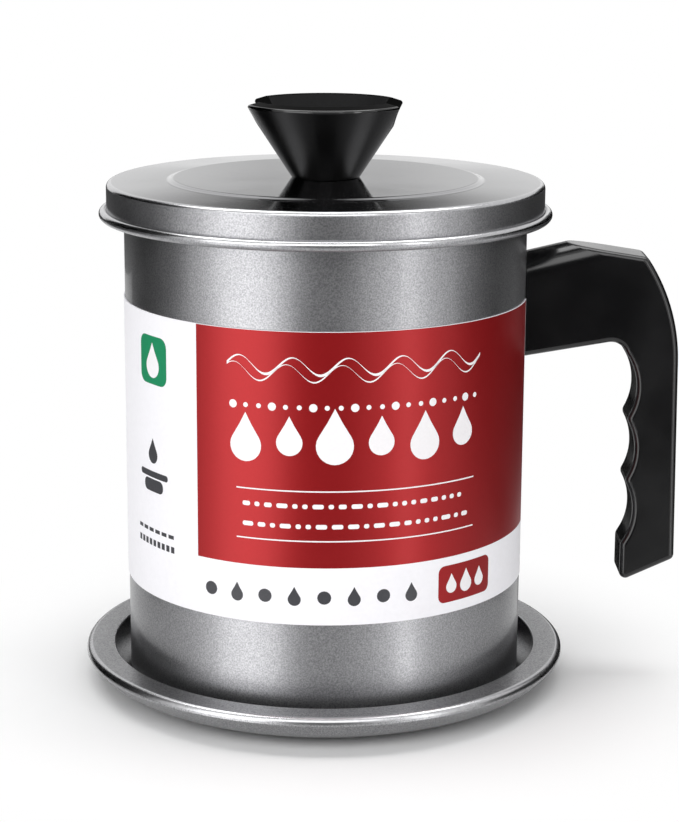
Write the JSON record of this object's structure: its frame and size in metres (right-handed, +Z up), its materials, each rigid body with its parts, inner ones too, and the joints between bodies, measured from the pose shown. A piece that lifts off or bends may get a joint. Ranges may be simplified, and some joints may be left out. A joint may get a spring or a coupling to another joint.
{
  "type": "bacon grease container",
  "caption": "Coated steel oil-strainer pot with a side handle, a printed wrap, a lift-off lid with a knob, a lift-out mesh strainer and a drip tray.",
  "frame": {"origin": "on the pot's axis, in the plane that the tray stands on", "axes": "+Z up along the pot's axis, +X from the pot's axis towards the handle, +Y away from the viewer when the handle is on the right"},
  "size_m": [0.1903, 0.155, 0.1868],
  "materials": {
    "tray_enamel": "gloss metallic grey coating",
    "pot_enamel": "gloss metallic grey coating",
    "label_card": "gloss printed card",
    "bracket_steel": "bare stamped steel",
    "handle_plastic": "semi-gloss black moulding",
    "zinc_steel": "bright zinc plating",
    "strainer_steel": "satin stainless steel",
    "mesh_steel": "woven stainless wire",
    "lid_enamel": "gloss metallic grey coating",
    "knob_plastic": "polished black moulding",
    "insert_brass": "turned brass"
  },
  "bodies": {
    "tray": {"drip_tray": "tray_enamel"},
    "pot": {"pot_body": "pot_enamel", "label_sleeve": "label_card", "handle_bracket": "bracket_steel", "handle_weld_nut": "bracket_steel", "handle_grip": "handle_plastic", "handle_washer": "zinc_steel", "handle_screw": "zinc_steel"},
    "strainer": {"strainer_cup": "strainer_steel", "strainer_floor": "strainer_steel", "strainer_mesh": "mesh_steel", "strainer_ring": "strainer_steel"},
    "lid": {"lid_shell": "lid_enamel", "lid_knob": "knob_plastic", "knob_insert": "insert_brass", "knob_washer": "zinc_steel", "knob_screw": "zinc_steel"}
  },
  "joints": [
    {"name": "pot_lift", "type": "slide", "parent": "tray", "child": "pot", "axis": [0, 0, 1], "range_m": [0, 0.04]},
    {"name": "strainer_lift", "type": "slide", "parent": "pot", "child": "strainer", "axis": [0, 0, 1], "range_m": [0, 0.06]},
    {"name": "lid_lift", "type": "slide", "parent": "strainer", "child": "lid", "axis": [0, 0, 1], "range_m": [0, 0.06]}
  ]
}
